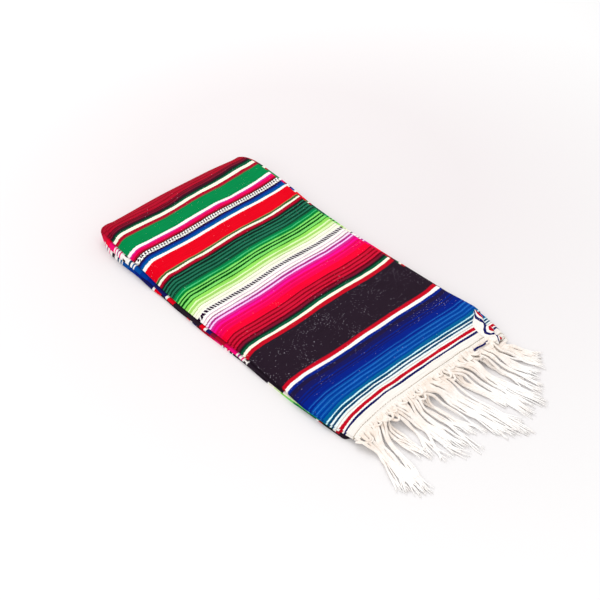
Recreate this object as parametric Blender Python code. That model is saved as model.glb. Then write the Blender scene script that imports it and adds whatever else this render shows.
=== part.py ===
"""A serape folded flat: a long striped blanket, folded once along its length and twice across it.

The folded bundle lies on its underside. +X runs across the bundle, from the two selvages to the
lengthwise fold, +Y along it, from the fringed hems to the far fold, and +Z up. The origin is on the
underside, at the middle of the bundle.
"""

import math

import bmesh
import bpy

MM = 0.001

# Cloth
WALL = 2.4 * MM
GAP = 0.3 * MM
PAIR = 2 * WALL + GAP           # two layers and the gap between them
FOLD_RADIUS = PAIR / 2          # outside of the lengthwise fold

# Far fold: an upright half ellipse
TURN_Y = 250 * MM               # where the top layer starts to turn down
TURN_REACH = 37 * MM
RETURN_Y = 225 * MM             # where the turned pair ends on the underside

# Near end
HEM_Y = -289 * MM               # edge of the top layer's hem
NOSE_Y = -268 * MM              # where the lower layers start to round off
NOSE_REACH = 9 * MM
NOSE_CLEARANCE = 0.6 * MM       # the pair lies this much more loosely over the rounded end
NOSE_INSET_LEFT = 2 * MM        # the rounded end is this much narrower on each side
NOSE_INSET_RIGHT = 1.5 * MM

# Bundle, in mm: station along it, height of the top face, left selvage of the top layer,
# left selvage of the second layer, lengthwise fold
BUNDLE = (
    # y, top, left_1, left_2, right
    (-315, 10.6, -148, -148, 158),
    (-289, 13.6, -150, -151, 163),
    (-262, 16.2, -152, -154, 170),
    (-180, 16.6, -158, -160, 170),
    (-60, 17.2, -160, -162, 166),
    (40, 19.0, -162, -164, 164),
    (110, 22.6, -161, -166, 165),
    (170, 29.4, -160, -167, 167),
    (225, 36.4, -161, -166, 165),
    (250, 38.2, -159, -163, 163),
    (282, 38.2, -152, -154, 159),
)
Y, TOP, LEFT_1, LEFT_2, RIGHT = range(5)

# Soft swells of the top face, in mm: middle x, middle y, half length along x and y, height
SWELLS = (
    (-90, 170, 60, 70, 0.9),
    (60, 120, 90, 40, -0.8),
    (100, -20, 50, 90, 0.9),
    (-70, -60, 70, 60, -0.7),
    (20, -190, 90, 50, 0.8),
    (-120, -240, 50, 45, -0.7),
    (120, -240, 40, 60, 0.9),
)

# Edges of the four lower layers, top to bottom, in mm: how far each stands out past the row's
# own edge on the left, and on the lengthwise fold where two layers share one turn
LEFT_STEPS = (-3.5, -1.5, 1.0, 3.0)
RIGHT_STEPS = (-2.5, 0.5)
GROOVE = 2.2 * MM
FOLD_INSET = 1.5 * MM           # the lower folds lie this far inside the top one
FACE_EASE = 1.006               # room below the pair, as a share of the depth there
TURN_EASE = 1.03                # and inside the far fold

# Second hem: how far it stands out past the top hem at the left selvage and at the fold
SECOND_HEM_LEFT = 5 * MM
SECOND_HEM_FOLD = 21 * MM
HEM_BLEND = 60 * MM             # length of cloth over which that shift fades out

# Fringe
STRIP_DEPTH = 3 * MM
STRAND = 2.3 * MM               # thickness of a strand at its root
TIP_SHARE = 0.5                 # thickness of its tip against its root
FLOOR_CLEARANCE = 0.5 * MM
STRAND_STEPS = 7
STEP_GROWTH = 1.5               # steps are short at the root, where the strand bends most
UNEVEN = 0.07                   # strands of one tuft reach unevenly far, by a fixed ripple
UNEVEN_PACE = 9.3
TOP_DROP = 34 * MM              # distance over which the top strands come down to the floor
SECOND_DROP = 14 * MM

# Tufts, in mm: where the roots start and end along the hem, where the tuft is gathered and how
# wide it is there, how far in front of the hem; where the tips start and end, how far they reach
TOP_TUFTS = (
    # root_0, root_1, gather, width, ahead, tip_0, tip_1, reach_0, reach_1, strands
    (-149, -90, -133, 28, 32, -158, -112, 108, 128, 11),
    (-88, -28, -58, 28, 32, -78, -34, 112, 130, 11),
    (-26, 30, 14, 28, 32, 8, 50, 138, 158, 11),
    (32, 92, 76, 26, 32, 76, 112, 146, 132, 10),
    (94, 146, 126, 24, 32, 126, 156, 118, 92, 9),
)
SECOND_TUFTS = (
    (-102, -84, -96, 9, 20, -99, -89, 84, 92, 4),
    (-40, -10, -24, 14, 20, -24, -8, 92, 100, 5),
    (38, 56, 46, 9, 20, 56, 65, 92, 84, 4),
    (98, 106, 102, 5, 20, 109, 116, 84, 78, 3),
    (136, 152, 157, 16, 20, 162, 178, 74, 56, 6),
)
ROOT_0, ROOT_1, GATHER, WIDTH, AHEAD, TIP_0, TIP_1, REACH_0, REACH_1, STRANDS = range(10)

COTTON = (0.86, 0.83, 0.76)
CRIMSON = (0.55, 0.03, 0.08)
INDIGO = (0.03, 0.10, 0.32)


def lerp(a, b, t):
    return a + (b - a) * t


def ease(t):
    t = min(max(t, 0.0), 1.0)
    return t * t * (3 - 2 * t)


def bundle(column, y):
    """A column of BUNDLE at y, in metres, on a smooth curve through the rows."""
    rows = BUNDLE
    y_mm = min(max(y / MM, rows[0][Y]), rows[-1][Y])
    i = max(k for k in range(len(rows) - 1) if rows[k][Y] <= y_mm)
    a, b = rows[i], rows[i + 1]
    before, after = rows[max(i - 1, 0)], rows[min(i + 2, len(rows) - 1)]
    span = b[Y] - a[Y]
    t = (y_mm - a[Y]) / span
    slope_a = (b[column] - before[column]) / (b[Y] - before[Y]) * span
    slope_b = (after[column] - a[column]) / (after[Y] - a[Y]) * span
    value = (
        a[column] * (1 + 2 * t) * (1 - t) ** 2
        + b[column] * t * t * (3 - 2 * t)
        + slope_a * t * (1 - t) ** 2
        - slope_b * t * t * (1 - t)
    )
    return value * MM


def swell(x, y):
    """Height that the swells add to the top face, faded out before the far fold."""
    total = 0.0
    for mid_x, mid_y, half_x, half_y, height in SWELLS:
        u = (x / MM - mid_x) / half_x
        v = (y / MM - mid_y) / half_y
        total += height * MM * math.exp(-(u * u + v * v))
    return total * (1 - ease((y - 200 * MM) / (50 * MM)))


TURN_TOP = bundle(TOP, TURN_Y)
TURN_RISE = TURN_TOP / 2


def top_point(x, y, depth):
    """Point of the flat stretch, depth below the top face."""
    step = 1 * MM
    slope = (bundle(TOP, y + step) - bundle(TOP, y - step)) / (2 * step)
    if y >= TURN_Y - step:
        slope = 0.0
    length = math.hypot(1, slope)
    return (x, y + depth * slope / length, bundle(TOP, y) + swell(x, y) - depth / length)


def turn_point(x, angle, depth):
    """Point of the far fold: angle runs from 90 degrees at the top to -90 on the underside."""
    across, up = math.cos(angle), math.sin(angle)
    normal_y = across / TURN_REACH
    normal_z = up / TURN_RISE
    length = math.hypot(normal_y, normal_z)
    return (
        x,
        TURN_Y + TURN_REACH * across - depth * normal_y / length,
        TURN_RISE + TURN_RISE * up - depth * normal_z / length,
    )


def clear_scene():
    for obj in list(bpy.data.objects):
        bpy.data.objects.remove(obj, do_unlink=True)


def material(name, colour, roughness=0.95):
    made = bpy.data.materials.new(name)
    made.use_nodes = True
    shader = made.node_tree.nodes["Principled BSDF"]
    shader.inputs["Base Color"].default_value = (*colour, 1)
    shader.inputs["Roughness"].default_value = roughness
    shader.inputs["Metallic"].default_value = 0
    return made


def add_object(name, mesh_data, finish, collection):
    """Makes an object of a bmesh whose faces form one closed body."""
    bmesh.ops.recalc_face_normals(mesh_data, faces=mesh_data.faces)
    mesh = bpy.data.meshes.new(name)
    mesh_data.to_mesh(mesh)
    mesh_data.free()
    mesh.materials.append(finish)
    mesh.shade_smooth()
    mesh.set_sharp_from_angle(angle=math.radians(50))
    obj = bpy.data.objects.new(name, mesh)
    collection.objects.link(obj)
    return obj


def wall_between(outer, inner):
    """A closed cloth wall between two grids of points that have the same rows and columns."""
    made = bmesh.new()
    faces = []
    for grid in (outer, inner):
        faces.append([[made.verts.new(point) for point in row] for row in grid])
    out, into = faces
    last_row, last_column = len(out) - 1, len(out[0]) - 1
    for i in range(last_row):
        for j in range(last_column):
            made.faces.new((out[i][j], out[i + 1][j], out[i + 1][j + 1], out[i][j + 1]))
            made.faces.new((into[i][j], into[i][j + 1], into[i + 1][j + 1], into[i + 1][j]))
        for j in (0, last_column):
            made.faces.new((out[i][j], into[i][j], into[i + 1][j], out[i + 1][j]))
    for j in range(last_column):
        for i in (0, last_row):
            made.faces.new((out[i][j], out[i][j + 1], into[i][j + 1], into[i][j]))
    return made


def loft(rings):
    """A closed body through rings of points, capped by a face on its first and last ring."""
    made = bmesh.new()
    loops = [[made.verts.new(point) for point in ring] for ring in rings]
    count = len(loops[0])
    for lower, upper in zip(loops, loops[1:]):
        for j in range(count):
            k = (j + 1) % count
            made.faces.new((lower[j], lower[k], upper[k], upper[j]))
    made.faces.new(loops[0])
    made.faces.new(loops[-1])
    return made


# Top pair of layers

FLAT_STATIONS = 26
TURN_STATIONS = 9
ACROSS = 9
FOLD_STEPS = 6


def flat_stations():
    return [lerp(HEM_Y, TURN_Y, i / FLAT_STATIONS) for i in range(FLAT_STATIONS)]


def turn_angles():
    return [math.radians(90 - 180 * i / TURN_STATIONS) for i in range(TURN_STATIONS + 1)]


def second_hem(x):
    """How far the second hem stands out past the top one at x."""
    share = (x - bundle(LEFT_2, HEM_Y)) / (bundle(RIGHT, HEM_Y) - bundle(LEFT_2, HEM_Y))
    return lerp(SECOND_HEM_LEFT, SECOND_HEM_FOLD, ease(share))


def pair_profile(y):
    """Columns of the pair's section at y: x, depth of the outer and the inner face, share of the
    second hem's shift. The section runs along the top layer, round the fold and back below it."""
    left_1, left_2, right = (bundle(column, y) for column in (LEFT_1, LEFT_2, RIGHT))
    middle = right - FOLD_RADIUS
    columns = []
    for i in range(ACROSS):
        columns.append((lerp(left_1, middle, i / ACROSS),) * 2 + (0, WALL, 0))
    for i in range(FOLD_STEPS + 1):
        angle = math.pi * i / FOLD_STEPS
        inner = FOLD_RADIUS - WALL
        columns.append((
            middle + FOLD_RADIUS * math.sin(angle),
            middle + inner * math.sin(angle),
            FOLD_RADIUS * (1 - math.cos(angle)),
            FOLD_RADIUS - inner * math.cos(angle),
            i / FOLD_STEPS,
        ))
    for i in range(1, ACROSS + 1):
        columns.append((lerp(middle, left_2, i / ACROSS),) * 2 + (PAIR, PAIR - WALL, 1))
    return columns


def make_top_pair(collection):
    """The top two layers: one wall that runs along the top, round the lengthwise fold and back
    below itself, and all of it over the far fold."""
    outer, inner = [], []
    for station in flat_stations():
        fade = 1 - ease((station - HEM_Y) / HEM_BLEND)
        rows = ([], [])
        for out_x, in_x, out_depth, in_depth, share in pair_profile(station):
            y = station - second_hem(out_x) * share * fade
            rows[0].append(top_point(out_x, y, out_depth))
            rows[1].append(top_point(in_x, y, in_depth))
        outer.append(rows[0])
        inner.append(rows[1])
    for angle in turn_angles():
        profile = pair_profile(TURN_Y + TURN_REACH * math.cos(angle))
        outer.append([turn_point(out_x, angle, depth) for out_x, _, depth, _, _ in profile])
        inner.append([turn_point(in_x, angle, depth) for _, in_x, _, depth, _ in profile])
    profile = pair_profile(RETURN_Y)
    outer.append([(out_x, RETURN_Y, depth) for out_x, _, depth, _, _ in profile])
    inner.append([(in_x, RETURN_Y, depth) for _, in_x, _, depth, _ in profile])
    add_object("top_layers", wall_between(outer, inner), material("striped_cloth", CRIMSON),
               collection)


# Lower layers

LOWER_ACROSS = 7
BULGE = ((0.0, 1.0), (0.22, 0.25), (0.5, 0.0), (0.78, 0.25), (1.0, 1.0))


def lower_ring(y, low, high_at, left, right, spread=1.0):
    """Outline of the lower layers at y: flat below, two rounded turns on the right, the top face
    under the pair, and four rounded layer edges on the left."""
    high_right = high_at(right)
    high_left = high_at(left)
    ring = []
    for i in range(1, LOWER_ACROSS):
        ring.append((lerp(left, right, i / LOWER_ACROSS), y, low))
    turns = len(RIGHT_STEPS)
    for k in range(turns):
        base, rise = k / turns, 1 / turns
        for up, inset in BULGE[(0 if k == 0 else 1):]:
            x = right + RIGHT_STEPS[turns - 1 - k] * MM * spread - inset * GROOVE
            ring.append((x, y, lerp(low, high_right, base + rise * up)))
    for i in range(1, LOWER_ACROSS):
        x = lerp(right, left, i / LOWER_ACROSS)
        ring.append((x, y, high_at(x)))
    layers = len(LEFT_STEPS)
    for k in range(layers):
        base, drop = 1 - k / layers, 1 / layers
        for down, inset in BULGE[(0 if k == 0 else 1):]:
            x = left - LEFT_STEPS[k] * MM * spread + inset * GROOVE
            ring.append((x, y, lerp(low, high_left, base - drop * down)))
    return ring


def make_lower_layers(collection):
    """The four hidden layers as one rounded solid, layered at its edges."""
    under = PAIR + GAP

    def face_at(y):
        loose = NOSE_CLEARANCE * (1 - ease((y - NOSE_Y) / HEM_BLEND))
        return lambda x: bundle(TOP, y) + swell(x, y) - under * FACE_EASE - loose

    def edges_at(y):
        return bundle(LEFT_1, y), bundle(RIGHT, y) - FOLD_INSET

    rings = []
    for degrees in (12, 30, 55):
        angle = math.radians(degrees)
        y = NOSE_Y - NOSE_REACH * math.cos(angle)
        middle = face_at(y)(0) / 2
        left, right = edges_at(y)
        rings.append(lower_ring(
            y, middle * (1 - math.sin(angle)),
            lambda x, y=y, m=middle, share=math.sin(angle): lerp(m, face_at(y)(x), share),
            left + NOSE_INSET_LEFT, right - NOSE_INSET_RIGHT,
        ))
    for y in [NOSE_Y] + [y for y in flat_stations() if NOSE_Y < y < RETURN_Y - GAP]:
        rings.append(lower_ring(y, 0.0, face_at(y), *edges_at(y)))
    rings.append(lower_ring(RETURN_Y - GAP, 0.0, face_at(RETURN_Y), *edges_at(RETURN_Y)))
    for y in (RETURN_Y - GAP, TURN_Y):
        rings.append(lower_ring(y, under, face_at(y), *edges_at(y)))
    for angle in turn_angles()[1:TURN_STATIONS // 2 + 1]:
        _, y, top = turn_point(0, angle, under * TURN_EASE)
        edge_y = TURN_Y + TURN_REACH * math.cos(angle)
        rings.append(lower_ring(y, 2 * TURN_RISE - top, lambda x, z=top: z, *edges_at(edge_y)))
    add_object("lower_layers", loft(rings), material("lower_cloth", INDIGO), collection)


# Fringe

def strand_points(tuft, share, root, ledge_y, drop_length):
    """Middle line of one strand: over the cloth below it as far as ledge_y, down to the floor, to
    its gathering place, and out to its tip."""
    gather = (tuft[GATHER] + tuft[WIDTH] * (share - 0.5)) * MM
    tip_x = lerp(tuft[TIP_0], tuft[TIP_1], share) * MM
    uneven = 1 + UNEVEN * math.sin(UNEVEN_PACE * share + tuft[ROOT_0])
    gather_y = root[1] - tuft[AHEAD] * MM
    tip_y = root[1] - lerp(tuft[REACH_0], tuft[REACH_1], share) * MM * uneven
    floor = STRAND / 2 + FLOOR_CLEARANCE
    points = []
    for i in range(1, STRAND_STEPS + 1):
        t = i / STRAND_STEPS
        y = lerp(root[1], tip_y, t ** STEP_GROWTH)
        if y > gather_y:
            x = lerp(root[0], gather, ease((root[1] - y) / (root[1] - gather_y)))
        else:
            x = lerp(gather, tip_x, (gather_y - y) / (gather_y - tip_y))
        fall = ease((ledge_y - y) / drop_length)
        points.append((x, y, lerp(root[2], floor, fall)))
    return points


def make_fringe(name, tufts, x_range, edge_point, ledge_at, drop_length, finish, collection):
    """A narrow strip along a hem, with a strand grown from each root cell of its front face."""
    roots = []
    for tuft in tufts:
        count = tuft[STRANDS]
        for i in range(count):
            share = i / (count - 1)
            roots.append((lerp(tuft[ROOT_0], tuft[ROOT_1], share) * MM, tuft, share))
    roots.sort(key=lambda entry: entry[0])
    half = STRAND / 2
    stations = [x_range[0]]
    for x, _, _ in roots:
        stations += [x - half, x + half]
    stations.append(x_range[1])

    made = bmesh.new()
    sections = []
    for x in stations:
        _, y, z = edge_point(x)
        corners = ((y, z - half), (y - STRIP_DEPTH, z - half),
                   (y - STRIP_DEPTH, z + half), (y, z + half))
        sections.append([made.verts.new((x, *corner)) for corner in corners])
    for index, (a, b) in enumerate(zip(sections, sections[1:])):
        is_root = index % 2 == 1
        for j in range(4):
            k = (j + 1) % 4
            if not (is_root and j == 1):
                made.faces.new((a[j], a[k], b[k], b[j]))
    made.faces.new(sections[0])
    made.faces.new(sections[-1])

    for index, (x, tuft, share) in enumerate(roots):
        a, b = sections[2 * index + 1], sections[2 * index + 2]
        _, y, z = edge_point(x)
        root = (x, y - STRIP_DEPTH, z)
        path = [root] + strand_points(tuft, share, root, ledge_at(x), drop_length)
        ring = [a[1], b[1], b[2], a[2]]
        for i in range(1, len(path)):
            before = path[i - 1]
            here = path[i]
            after = path[min(i + 1, len(path) - 1)]
            along = [after[n] - before[n] for n in range(3)]
            flat = math.hypot(along[0], along[1])
            side = (-along[1] / flat, along[0] / flat, 0)
            full = math.hypot(flat, along[2])
            up = (-along[0] / flat * along[2] / full, -along[1] / flat * along[2] / full,
                  flat / full)
            size = half * lerp(1, TIP_SHARE, i / (len(path) - 1))
            new_ring = []
            for s, u in ((-1, -1), (1, -1), (1, 1), (-1, 1)):
                new_ring.append(made.verts.new([
                    here[n] + size * (s * side[n] + u * up[n]) for n in range(3)
                ]))
            for j in range(4):
                k = (j + 1) % 4
                made.faces.new((ring[j], ring[k], new_ring[k], new_ring[j]))
            ring = new_ring
        made.faces.new(ring)
    add_object(name, made, finish, collection)


def top_edge(x):
    """Middle of the top hem's edge, just in front of it."""
    point = top_point(x, HEM_Y, WALL / 2)
    return (x, HEM_Y - GAP, point[2])


def second_edge(x):
    """Middle of the second hem's edge, just in front of it."""
    y = HEM_Y - second_hem(x)
    point = top_point(x, y, PAIR - WALL / 2)
    return (x, point[1] - GAP, point[2])


def main():
    clear_scene()
    collection = bpy.data.collections.new("folded_serape")
    bpy.context.scene.collection.children.link(collection)
    make_top_pair(collection)
    make_lower_layers(collection)
    yarn = material("cotton_yarn", COTTON)
    make_fringe("top_fringe", TOP_TUFTS, (-151 * MM, 154 * MM), top_edge,
                lambda x: HEM_Y - second_hem(x) - 2 * STRIP_DEPTH, TOP_DROP, yarn, collection)
    make_fringe("second_fringe", SECOND_TUFTS, (-148 * MM, 156 * MM), second_edge,
                lambda x: HEM_Y - second_hem(x) - STRIP_DEPTH, SECOND_DROP, yarn, collection)


main()
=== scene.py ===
"""The folded serape in a soft, pale studio: the striped cloth as one folded sheet, its hem
stitches and its cotton fringe."""

import math
import random

import bpy
import numpy as np
from mathutils import Matrix, Vector


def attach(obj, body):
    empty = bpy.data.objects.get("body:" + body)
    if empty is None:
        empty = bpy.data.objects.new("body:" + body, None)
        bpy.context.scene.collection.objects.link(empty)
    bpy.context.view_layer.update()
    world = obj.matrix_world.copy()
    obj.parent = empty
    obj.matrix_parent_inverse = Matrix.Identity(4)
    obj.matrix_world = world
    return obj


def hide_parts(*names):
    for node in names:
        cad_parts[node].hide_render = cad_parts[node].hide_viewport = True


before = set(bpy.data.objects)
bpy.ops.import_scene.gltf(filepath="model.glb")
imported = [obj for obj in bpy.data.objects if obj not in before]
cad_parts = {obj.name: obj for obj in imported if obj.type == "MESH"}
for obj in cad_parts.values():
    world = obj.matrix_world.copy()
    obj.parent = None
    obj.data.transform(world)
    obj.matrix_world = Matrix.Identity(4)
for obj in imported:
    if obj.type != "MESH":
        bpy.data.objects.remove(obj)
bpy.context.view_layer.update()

MM = 0.001

# Cloth, as in the part
WALL = 2.4 * MM
GAP = 0.3 * MM
PITCH = WALL + GAP              # from the middle of one layer to the middle of the next
PAIR = 2 * WALL + GAP
TURN_Y = 250 * MM
TURN_REACH = 37 * MM
HEM_Y = -290 * MM
NOSE_Y = -268 * MM
NOSE_REACH = 9 * MM

BUNDLE = (
    # y, top, left_1, left_2, right
    (-315, 10.6, -148, -148, 158),
    (-289, 13.6, -150, -151, 163),
    (-262, 16.2, -152, -154, 170),
    (-180, 16.6, -158, -160, 170),
    (-60, 17.2, -160, -162, 166),
    (40, 19.0, -162, -164, 164),
    (110, 22.6, -161, -166, 165),
    (170, 29.4, -160, -167, 167),
    (225, 36.4, -161, -166, 165),
    (250, 38.2, -159, -163, 163),
    (282, 38.2, -152, -154, 159),
)
TOP, LEFT_1, LEFT_2, RIGHT = 1, 2, 3, 4

SWELLS = (
    # middle x, middle y, half length along x and y, height
    (-90, 170, 60, 70, 0.9),
    (60, 120, 90, 40, -0.8),
    (100, -20, 50, 90, 0.9),
    (-70, -60, 70, 60, -0.7),
    (20, -190, 90, 50, 0.8),
    (-120, -240, 50, 45, -0.7),
    (120, -240, 40, 60, 0.9),
)

# Soft troughs that cross the top face: y at the left and at the right edge, half width, depth
TROUGHS = (
    (214, 226, 15, 0.55),
    (118, 104, 20, 0.5),
    (-8, 14, 24, 0.45),
    (-96, -84, 17, 0.4),
    (-196, -214, 14, 0.5),
    (-248, -238, 10, 0.45),
)

# Whole cut
CUT_WIDTH = 650 * MM
CUT_LENGTH = 1660 * MM

# How far the stripes stray along y from their place at mid width, in mm, by place across
STRAY_X = (-150, -124, -93, -62, -31, 0, 31, 62, 93, 124, 150)
STRAY = (
    # y, then one value for each place across
    (250, -3, -2, -3, -5, -4, 0, 1, 1.5, 3.5, 6.5, 6),
    (204, -1, -3.5, -4, -4, -1.5, 0, 1, -1.5, -0.5, 1, 3.5),
    (166, 0, -1, -2.5, -3, -1.5, 0, 1, 1, 0, 0, 1),
    (130, -3, -4.5, -3.5, -4, -2, 0, 0, -1.5, -2.5, 0, 1.5),
    (-73, 2, 2.5, 0.5, -1, -1, 0, -1, -3, -6, -6.5, -5),
    (-168, 7, 8, 5, 2, 0.5, 0, -2, -3, -5, -7, -7.5),
    (-259, -1.5, 3, 4.5, 4.5, 1.5, 0, -2.5, -5, -8, -11.5, -14),
)


def lerp(a, b, t):
    return a + (b - a) * t


def ease(t):
    t = min(max(t, 0.0), 1.0)
    return t * t * (3 - 2 * t)


def bundle(column, y):
    """A column of BUNDLE at y, in metres, on a smooth curve through the rows."""
    rows = BUNDLE
    y_mm = min(max(y / MM, rows[0][0]), rows[-1][0])
    i = max(k for k in range(len(rows) - 1) if rows[k][0] <= y_mm)
    a, b = rows[i], rows[i + 1]
    before, after = rows[max(i - 1, 0)], rows[min(i + 2, len(rows) - 1)]
    span = b[0] - a[0]
    t = (y_mm - a[0]) / span
    slope_a = (b[column] - before[column]) / (b[0] - before[0]) * span
    slope_b = (after[column] - a[column]) / (after[0] - a[0]) * span
    value = (
        a[column] * (1 + 2 * t) * (1 - t) ** 2
        + b[column] * t * t * (3 - 2 * t)
        + slope_a * t * (1 - t) ** 2
        - slope_b * t * t * (1 - t)
    )
    return value * MM


def swell(x, y):
    total = 0.0
    for mid_x, mid_y, half_x, half_y, height in SWELLS:
        u = (x / MM - mid_x) / half_x
        v = (y / MM - mid_y) / half_y
        total += height * MM * math.exp(-(u * u + v * v))
    share = x / (320 * MM) + 0.5
    for at_left, at_right, half, depth in TROUGHS:
        bend = 5 * math.sin(share * 4.1 + at_left)
        v = (y / MM - lerp(at_left, at_right, share) - bend) / half
        uneven = 0.55 + 0.45 * math.sin(share * 5.3 + at_right)
        total -= depth * MM * uneven * math.exp(-v * v)
    return total * (1 - ease((y - 200 * MM) / (50 * MM)))


def top_height(x, y):
    return bundle(TOP, y) + swell(x, y)


def stray(x, y):
    """How far a stripe at (x, y) lies from its place at mid width."""
    x_mm = min(max(x / MM, STRAY_X[0]), STRAY_X[-1])
    values = [np.interp(x_mm, STRAY_X, row[1:]) for row in STRAY]
    heights = [row[0] for row in STRAY]
    return float(np.interp(y / MM, heights[::-1], values[::-1])) * MM


def hem_y(x):
    return HEM_Y + stray(x, -275 * MM) * 0.8


HEM_BAND = 9 * MM               # depth of the doubled hem
HEM_RISE = 0.9 * MM


def hem_band(x, y):
    """Height that the doubled hem adds, with its puckers."""
    inside = y - hem_y(x)
    pucker = 1 + 0.35 * math.sin(x / MM * 0.56) + 0.2 * math.sin(x / MM * 1.31)
    return HEM_RISE * pucker * (1 - ease((inside - HEM_BAND + 2 * MM) / (2.4 * MM)))


HEM_BLEND = 60 * MM             # length over which the second hem's shift fades out


def second_hem(x):
    """How far the second hem stands out past the top one at x."""
    share = (x / MM + 153) / 314
    return lerp(0.5, 19, ease(share)) * MM


# The six layers, from the top, are A1, A2, C1, C2, B2 and B1. A is the top pair, B the lowest.
RIGHT_PUFF = 30 * MM            # width over which the lower folds stand apart
FOLD_INSET = 3.6 * MM           # from a fold's outside to where its loop starts
LIP_INSET = 2.4 * MM            # the same for the second layer, which forms the lip
RIDGE = 1.6 * MM                # rise of the top layer to its ridge at the fold
RIDGE_FROM = 24 * MM            # from the fold to where that rise starts
RIDGE_WIDTH = 17 * MM

# The lengthwise fold in section: share of the way down to the next layer, and x from the fold's
# outside in mm. The top pair has a ridge, a groove and a lip, the others a round loop.
FOLD_WITH_LIP = ((0.12, -5.7), (0.3, -5.3), (0.42, -5.9), (0.5, -5.0), (0.5, -3.0), (0.52, -1.0),
                 (0.62, 0.3), (0.8, 0.8), (0.94, 0.0))
FOLD_ROUND = ((0.02, -2.5), (0.09, -1.5), (0.21, -0.7), (0.35, -0.2), (0.5, 0.0), (0.65, -0.2),
              (0.79, -0.7), (0.91, -1.5), (0.98, -2.5))

# The same for the top layer, whose ridge stands behind that lip, in mm, by y
RIDGE_INSET = ((-300, 24), (-285, 29), (-270, 32), (-261, 27), (-254, 10), (-246, 0), (-234, -1.5),
               (-190, 3), (-140, 6), (-60, 7), (282, 7))

ROLLED = 14 * MM                # width of the selvage that rolls down
HUMP = 5 * MM                   # width of the hump at the lower pair's selvage
SETTLE = 20 * MM                # width over which the lower pair comes to rest behind it

# How far the top layer's selvage rolls down, in mm, by y
EDGE_DROP = ((-315, 3.5), (-200, 5), (-60, 7), (60, 8), (130, 7.5), (180, 6), (240, 4.5), (282, 4))
DROP_SHIFT = 0.77               # share of the drop by which that edge lies further in

# How far the second layer's selvage lies out from the rolled edge, in mm, by y
SECOND_OUT = ((-315, 1), (-60, 2), (60, 2), (110, 1.5), (240, 1), (282, 1))

# How far the top layer's selvage lies in from the rolled edge, in mm, by y
FIRST_IN = ((-289, 0), (-262, -2), (-245, -6), (-200, -6), (-150, -3), (-60, 0), (0, 1), (60, 4),
            (120, 6), (225, 6), (262, 2.5), (282, 1))


def table_at(table, y):
    return float(np.interp(y / MM, [row[0] for row in table], [row[1] for row in table])) * MM


def edge_of(layer, y):
    """x of a layer's selvage at y."""
    drop = table_at(EDGE_DROP, y)
    top_edge = bundle(LEFT_1, y) + DROP_SHIFT * drop
    low_edge = bundle(LEFT_1, y) - 2.6 * MM
    second = top_edge - table_at(SECOND_OUT, y)
    first = top_edge + table_at(FIRST_IN, y)
    places = {"A1": first, "A2": min(second, first - 1 * MM), "B1": low_edge,
              "B2": min(second, lerp(second, low_edge, 0.8)) - 0.6 * MM}
    return places.get(layer, bundle(LEFT_1, y) + 20 * MM)


def rounded(share):
    """Rises steeply from 0 and levels off at 1."""
    share = min(max(share, 0.0), 1.0)
    return math.sqrt(1 - (1 - share) ** 2)


def height_of(layer, x, y):
    """Height of the middle of a layer at (x, y)."""
    top = top_height(x, y)
    right = bundle(RIGHT, y)
    space = top - 2 * PAIR - 0.2 * MM
    puff = ease((x - (right - RIGHT_PUFF)) / RIGHT_PUFF)
    out = x - edge_of(layer, y)
    drop = table_at(EDGE_DROP, y)
    a2_edge = max(top - WALL / 2 - PITCH - drop - 3.4 * MM, 6.8 * MM)
    a1_edge = max(top - WALL / 2 - drop, a2_edge + PITCH + 0.1 * MM)
    b2_hump = max(WALL / 2 + PITCH, min(0.55 * top, a2_edge - PITCH - 0.1 * MM))
    b2_edge = min(b2_hump, max(WALL / 2 + PITCH, 0.33 * top))
    b1_hump = max(WALL / 2, b2_edge - PITCH - 0.2 * MM)
    roll = max(0.0, 1 - out / ROLLED) ** 1.7
    a2 = top - WALL / 2 - PITCH - puff * (space * 0.04 + 0.3 * MM)
    ridge = RIDGE * ease((x - (right - RIDGE_FROM)) / RIDGE_WIDTH)
    low_c = PAIR + 0.1 * MM + WALL / 2 + space * 0.3
    if layer == "A1":
        return lerp(top - WALL / 2, a1_edge, roll) + ridge
    if layer == "A2":
        return lerp(a2, a2_edge, roll)
    centre = PAIR + 0.1 * MM + space / 2
    if layer == "C1":
        return lerp(centre + PITCH / 2, a2 - PITCH - 0.2 * MM, puff)
    if layer == "C2":
        return lerp(centre - PITCH / 2, min(low_c, a2 - 2 * PITCH - 0.2 * MM), puff)
    settle = ease((out - HUMP) / SETTLE)
    if layer == "B2":
        below_c = min(low_c, a2 - 2 * PITCH - 0.2 * MM) - PITCH
        flat = lerp(WALL / 2 + PITCH, max(below_c, WALL / 2 + PITCH), puff)
        if out < HUMP:
            return lerp(b2_edge, b2_hump, rounded(out / HUMP))
        return lerp(b2_hump, flat, settle)
    if out < HUMP:
        return lerp(WALL / 2, b1_hump, rounded(out / HUMP))
    return lerp(b1_hump, WALL / 2, settle)


# Rows of the cloth, from the top hem over the far fold, back below, round the near end and in

def rows_of_cloth():
    """(stretch, share) pairs: stretch is top, turn, under, nose or inner."""
    rows = [("top", i / 226) for i in range(226)]
    rows += [("turn", i / 28) for i in range(28)]
    rows += [("under", i / 90) for i in range(90)]
    rows += [("nose", i / 9) for i in range(9)]
    rows += [("inner", i / 36) for i in range(37)]
    return rows


INNER_END = 236 * MM            # y where the innermost stretch ends
FLAT_LENGTH = 541 * MM          # cloth from the hem to the far fold
TURN_ARC = 77 * MM              # cloth round the far fold, first and second layer
TURN_ARC_2 = 47 * MM
UNDER_LENGTH = TURN_Y - NOSE_Y
NOSE_ARC = 22 * MM              # cloth round the near end

# Columns beside the selvage: how far each lies from it, in mm
SELVAGE_STEPS = (0, 0.25, 0.8, 1.7, 3, 4.6, 6.6, 9, 12, 15.5, 20, 26)


def far_bow(x):
    """How much further the far fold reaches in the middle than at its corners."""
    share = x / (320 * MM) + 0.5
    return 7.5 * MM * ease(share / 0.5) * (1 - 0.55 * ease((share - 0.75) / 0.25))


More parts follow.
